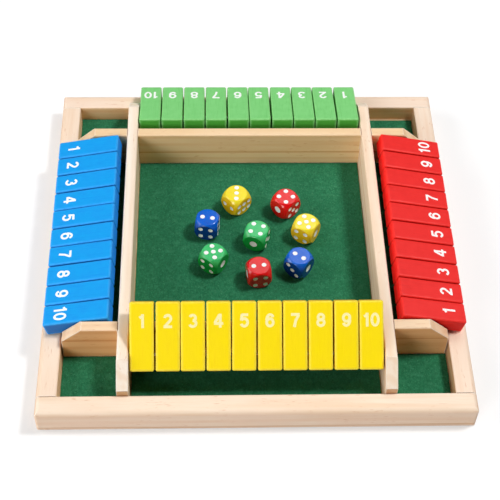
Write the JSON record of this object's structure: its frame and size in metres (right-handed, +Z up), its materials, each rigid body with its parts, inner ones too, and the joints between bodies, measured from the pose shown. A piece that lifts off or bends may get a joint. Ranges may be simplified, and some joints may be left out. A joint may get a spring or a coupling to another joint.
{
  "type": "shut the box game",
  "caption": "Square wooden game tray with a felt floor, raised dividers, a row of numbered flip tiles hinged on a rod along every side, and loose rounded dice.",
  "frame": {"origin": "middle of the underside of the base, on the table", "axes": "+Z up, -Y towards the yellow tiles' player, +X towards the red tiles' player"},
  "size_m": [0.28, 0.28, 0.0565],
  "materials": {
    "pine": "pale pine with a thin satin varnish",
    "board": "plain plywood",
    "felt": "dark green felt",
    "rod": "bright steel wire",
    "blue_paint": "blue satin paint on wood",
    "green_paint": "light green satin paint on wood",
    "red_paint": "red satin paint on wood",
    "yellow_paint": "yellow satin paint on wood",
    "yellow_plastic": "polished, white pips",
    "red_plastic": "polished, white pips",
    "green_plastic": "polished, white pips",
    "blue_plastic": "polished, white pips"
  },
  "bodies": {
    "tray": {"front_rail": "pine", "back_rail": "pine", "left_rail": "pine", "right_rail": "pine", "base_board": "board", "felt": "felt", "left_divider": "pine", "right_divider": "pine", "front_divider": "pine", "back_divider": "pine", "hinge_rods": "rod"},
    "blue_tile_1": {"blue_tile_1": "blue_paint"},
    "blue_tile_2": {"blue_tile_2": "blue_paint"},
    "blue_tile_3": {"blue_tile_3": "blue_paint"},
    "blue_tile_4": {"blue_tile_4": "blue_paint"},
    "blue_tile_5": {"blue_tile_5": "blue_paint"},
    "blue_tile_6": {"blue_tile_6": "blue_paint"},
    "blue_tile_7": {"blue_tile_7": "blue_paint"},
    "blue_tile_8": {"blue_tile_8": "blue_paint"},
    "blue_tile_9": {"blue_tile_9": "blue_paint"},
    "blue_tile_10": {"blue_tile_10": "blue_paint"},
    "green_tile_1": {"green_tile_1": "green_paint"},
    "green_tile_2": {"green_tile_2": "green_paint"},
    "green_tile_3": {"green_tile_3": "green_paint"},
    "green_tile_4": {"green_tile_4": "green_paint"},
    "green_tile_5": {"green_tile_5": "green_paint"},
    "green_tile_6": {"green_tile_6": "green_paint"},
    "green_tile_7": {"green_tile_7": "green_paint"},
    "green_tile_8": {"green_tile_8": "green_paint"},
    "green_tile_9": {"green_tile_9": "green_paint"},
    "green_tile_10": {"green_tile_10": "green_paint"},
    "red_tile_1": {"red_tile_1": "red_paint"},
    "red_tile_2": {"red_tile_2": "red_paint"},
    "red_tile_3": {"red_tile_3": "red_paint"},
    "red_tile_4": {"red_tile_4": "red_paint"},
    "red_tile_5": {"red_tile_5": "red_paint"},
    "red_tile_6": {"red_tile_6": "red_paint"},
    "red_tile_7": {"red_tile_7": "red_paint"},
    "red_tile_8": {"red_tile_8": "red_paint"},
    "red_tile_9": {"red_tile_9": "red_paint"},
    "red_tile_10": {"red_tile_10": "red_paint"},
    "yellow_tile_1": {"yellow_tile_1": "yellow_paint"},
    "yellow_tile_2": {"yellow_tile_2": "yellow_paint"},
    "yellow_tile_3": {"yellow_tile_3": "yellow_paint"},
    "yellow_tile_4": {"yellow_tile_4": "yellow_paint"},
    "yellow_tile_5": {"yellow_tile_5": "yellow_paint"},
    "yellow_tile_6": {"yellow_tile_6": "yellow_paint"},
    "yellow_tile_7": {"yellow_tile_7": "yellow_paint"},
    "yellow_tile_8": {"yellow_tile_8": "yellow_paint"},
    "yellow_tile_9": {"yellow_tile_9": "yellow_paint"},
    "yellow_tile_10": {"yellow_tile_10": "yellow_paint"},
    "yellow_die_1": {"yellow_die_1": "yellow_plastic"},
    "yellow_die_2": {"yellow_die_2": "yellow_plastic"},
    "red_die_1": {"red_die_1": "red_plastic"},
    "red_die_2": {"red_die_2": "red_plastic"},
    "green_die_1": {"green_die_1": "green_plastic"},
    "green_die_2": {"green_die_2": "green_plastic"},
    "blue_die_1": {"blue_die_1": "blue_plastic"},
    "blue_die_2": {"blue_die_2": "blue_plastic"}
  },
  "joints": [
    {"name": "blue_tile_1_hinge", "type": "hinge", "parent": "tray", "child": "blue_tile_1", "pos_m": [-0.10395, 0.07276, 0.0318], "axis": [0, 1, 0], "range_deg": [0, 153.8]},
    {"name": "blue_tile_2_hinge", "type": "hinge", "parent": "tray", "child": "blue_tile_2", "pos_m": [-0.10395, 0.05659, 0.0318], "axis": [0, 1, 0], "range_deg": [0, 153.8]},
    {"name": "blue_tile_3_hinge", "type": "hinge", "parent": "tray", "child": "blue_tile_3", "pos_m": [-0.10395, 0.04043, 0.0318], "axis": [0, 1, 0], "range_deg": [0, 153.8]},
    {"name": "blue_tile_4_hinge", "type": "hinge", "parent": "tray", "child": "blue_tile_4", "pos_m": [-0.10395, 0.02425, 0.0318], "axis": [0, 1, 0], "range_deg": [0, 153.8]},
    {"name": "blue_tile_5_hinge", "type": "hinge", "parent": "tray", "child": "blue_tile_5", "pos_m": [-0.10395, 0.00809, 0.0318], "axis": [0, 1, 0], "range_deg": [0, 153.8]},
    {"name": "blue_tile_6_hinge", "type": "hinge", "parent": "tray", "child": "blue_tile_6", "pos_m": [-0.10395, -0.00809, 0.0318], "axis": [0, 1, 0], "range_deg": [0, 153.8]},
    {"name": "blue_tile_7_hinge", "type": "hinge", "parent": "tray", "child": "blue_tile_7", "pos_m": [-0.10395, -0.02425, 0.0318], "axis": [0, 1, 0], "range_deg": [0, 153.8]},
    {"name": "blue_tile_8_hinge", "type": "hinge", "parent": "tray", "child": "blue_tile_8", "pos_m": [-0.10395, -0.04043, 0.0318], "axis": [0, 1, 0], "range_deg": [0, 153.8]},
    {"name": "blue_tile_9_hinge", "type": "hinge", "parent": "tray", "child": "blue_tile_9", "pos_m": [-0.10395, -0.05659, 0.0318], "axis": [0, 1, 0], "range_deg": [0, 153.8]},
    {"name": "blue_tile_10_hinge", "type": "hinge", "parent": "tray", "child": "blue_tile_10", "pos_m": [-0.10395, -0.07276, 0.0318], "axis": [0, 1, 0], "range_deg": [0, 137]},
    {"name": "green_tile_1_hinge", "type": "hinge", "parent": "tray", "child": "green_tile_1", "pos_m": [0.07276, 0.10395, 0.0318], "axis": [-1, 0, 0], "range_deg": [-153.8, 0]},
    {"name": "green_tile_2_hinge", "type": "hinge", "parent": "tray", "child": "green_tile_2", "pos_m": [0.05659, 0.10395, 0.0318], "axis": [-1, 0, 0], "range_deg": [-153.8, 0]},
    {"name": "green_tile_3_hinge", "type": "hinge", "parent": "tray", "child": "green_tile_3", "pos_m": [0.04043, 0.10395, 0.0318], "axis": [-1, 0, 0], "range_deg": [-153.8, 0]},
    {"name": "green_tile_4_hinge", "type": "hinge", "parent": "tray", "child": "green_tile_4", "pos_m": [0.02425, 0.10395, 0.0318], "axis": [-1, 0, 0], "range_deg": [-153.8, 0]},
    {"name": "green_tile_5_hinge", "type": "hinge", "parent": "tray", "child": "green_tile_5", "pos_m": [0.00809, 0.10395, 0.0318], "axis": [-1, 0, 0], "range_deg": [-153.8, 0]},
    {"name": "green_tile_6_hinge", "type": "hinge", "parent": "tray", "child": "green_tile_6", "pos_m": [-0.00809, 0.10395, 0.0318], "axis": [-1, 0, 0], "range_deg": [-153.8, 0]},
    {"name": "green_tile_7_hinge", "type": "hinge", "parent": "tray", "child": "green_tile_7", "pos_m": [-0.02425, 0.10395, 0.0318], "axis": [-1, 0, 0], "range_deg": [-153.8, 0]},
    {"name": "green_tile_8_hinge", "type": "hinge", "parent": "tray", "child": "green_tile_8", "pos_m": [-0.04043, 0.10395, 0.0318], "axis": [-1, 0, 0], "range_deg": [-153.8, 0]},
    {"name": "green_tile_9_hinge", "type": "hinge", "parent": "tray", "child": "green_tile_9", "pos_m": [-0.05659, 0.10395, 0.0318], "axis": [-1, 0, 0], "range_deg": [-153.8, 0]},
    {"name": "green_tile_10_hinge", "type": "hinge", "parent": "tray", "child": "green_tile_10", "pos_m": [-0.07276, 0.10395, 0.0318], "axis": [-1, 0, 0], "range_deg": [-153.8, 0]},
    {"name": "red_tile_1_hinge", "type": "hinge", "parent": "tray", "child": "red_tile_1", "pos_m": [0.10395, -0.07276, 0.0318], "axis": [0, -1, 0], "range_deg": [0, 137]},
    {"name": "red_tile_2_hinge", "type": "hinge", "parent": "tray", "child": "red_tile_2", "pos_m": [0.10395, -0.05659, 0.0318], "axis": [0, -1, 0], "range_deg": [0, 153.8]},
    {"name": "red_tile_3_hinge", "type": "hinge", "parent": "tray", "child": "red_tile_3", "pos_m": [0.10395, -0.04043, 0.0318], "axis": [0, -1, 0], "range_deg": [0, 153.8]},
    {"name": "red_tile_4_hinge", "type": "hinge", "parent": "tray", "child": "red_tile_4", "pos_m": [0.10395, -0.02425, 0.0318], "axis": [0, -1, 0], "range_deg": [0, 153.8]},
    {"name": "red_tile_5_hinge", "type": "hinge", "parent": "tray", "child": "red_tile_5", "pos_m": [0.10395, -0.00809, 0.0318], "axis": [0, -1, 0], "range_deg": [0, 153.8]},
    {"name": "red_tile_6_hinge", "type": "hinge", "parent": "tray", "child": "red_tile_6", "pos_m": [0.10395, 0.00809, 0.0318], "axis": [0, -1, 0], "range_deg": [0, 153.8]},
    {"name": "red_tile_7_hinge", "type": "hinge", "parent": "tray", "child": "red_tile_7", "pos_m": [0.10395, 0.02425, 0.0318], "axis": [0, -1, 0], "range_deg": [0, 153.8]},
    {"name": "red_tile_8_hinge", "type": "hinge", "parent": "tray", "child": "red_tile_8", "pos_m": [0.10395, 0.04043, 0.0318], "axis": [0, -1, 0], "range_deg": [0, 153.8]},
    {"name": "red_tile_9_hinge", "type": "hinge", "parent": "tray", "child": "red_tile_9", "pos_m": [0.10395, 0.05659, 0.0318], "axis": [0, -1, 0], "range_deg": [0, 153.8]},
    {"name": "red_tile_10_hinge", "type": "hinge", "parent": "tray", "child": "red_tile_10", "pos_m": [0.10395, 0.07276, 0.0318], "axis": [0, -1, 0], "range_deg": [0, 153.8]},
    {"name": "yellow_tile_1_hinge", "type": "hinge", "parent": "tray", "child": "yellow_tile_1", "pos_m": [-0.07276, -0.10395, 0.0318], "axis": [1, 0, 0], "range_deg": [0, 153.8]},
    {"name": "yellow_tile_2_hinge", "type": "hinge", "parent": "tray", "child": "yellow_tile_2", "pos_m": [-0.05659, -0.10395, 0.0318], "axis": [1, 0, 0], "range_deg": [0, 153.8]},
    {"name": "yellow_tile_3_hinge", "type": "hinge", "parent": "tray", "child": "yellow_tile_3", "pos_m": [-0.04043, -0.10395, 0.0318], "axis": [1, 0, 0], "range_deg": [0, 153.8]},
    {"name": "yellow_tile_4_hinge", "type": "hinge", "parent": "tray", "child": "yellow_tile_4", "pos_m": [-0.02425, -0.10395, 0.0318], "axis": [1, 0, 0], "range_deg": [0, 153.8]},
    {"name": "yellow_tile_5_hinge", "type": "hinge", "parent": "tray", "child": "yellow_tile_5", "pos_m": [-0.00809, -0.10395, 0.0318], "axis": [1, 0, 0], "range_deg": [0, 153.8]},
    {"name": "yellow_tile_6_hinge", "type": "hinge", "parent": "tray", "child": "yellow_tile_6", "pos_m": [0.00809, -0.10395, 0.0318], "axis": [1, 0, 0], "range_deg": [0, 153.8]},
    {"name": "yellow_tile_7_hinge", "type": "hinge", "parent": "tray", "child": "yellow_tile_7", "pos_m": [0.02425, -0.10395, 0.0318], "axis": [1, 0, 0], "range_deg": [0, 153.8]},
    {"name": "yellow_tile_8_hinge", "type": "hinge", "parent": "tray", "child": "yellow_tile_8", "pos_m": [0.04043, -0.10395, 0.0318], "axis": [1, 0, 0], "range_deg": [0, 153.8]},
    {"name": "yellow_tile_9_hinge", "type": "hinge", "parent": "tray", "child": "yellow_tile_9", "pos_m": [0.05659, -0.10395, 0.0318], "axis": [1, 0, 0], "range_deg": [0, 153.8]},
    {"name": "yellow_tile_10_hinge", "type": "hinge", "parent": "tray", "child": "yellow_tile_10", "pos_m": [0.07276, -0.10395, 0.0318], "axis": [1, 0, 0], "range_deg": [0, 153.8]},
    {"name": "yellow_die_1_lift", "type": "slide", "parent": "tray", "child": "yellow_die_1", "axis": [0, 0, 1], "range_m": [0, 0.06]},
    {"name": "yellow_die_2_lift", "type": "slide", "parent": "tray", "child": "yellow_die_2", "axis": [0, 0, 1], "range_m": [0, 0.06]},
    {"name": "red_die_1_lift", "type": "slide", "parent": "tray", "child": "red_die_1", "axis": [0, 0, 1], "range_m": [0, 0.06]},
    {"name": "red_die_2_lift", "type": "slide", "parent": "tray", "child": "red_die_2", "axis": [0, 0, 1], "range_m": [0, 0.06]},
    {"name": "green_die_1_lift", "type": "slide", "parent": "tray", "child": "green_die_1", "axis": [0, 0, 1], "range_m": [0, 0.06]},
    {"name": "green_die_2_lift", "type": "slide", "parent": "tray", "child": "green_die_2", "axis": [0, 0, 1], "range_m": [0, 0.06]},
    {"name": "blue_die_1_lift", "type": "slide", "parent": "tray", "child": "blue_die_1", "axis": [0, 0, 1], "range_m": [0, 0.06]},
    {"name": "blue_die_2_lift", "type": "slide", "parent": "tray", "child": "blue_die_2", "axis": [0, 0, 1], "range_m": [0, 0.06]}
  ]
}
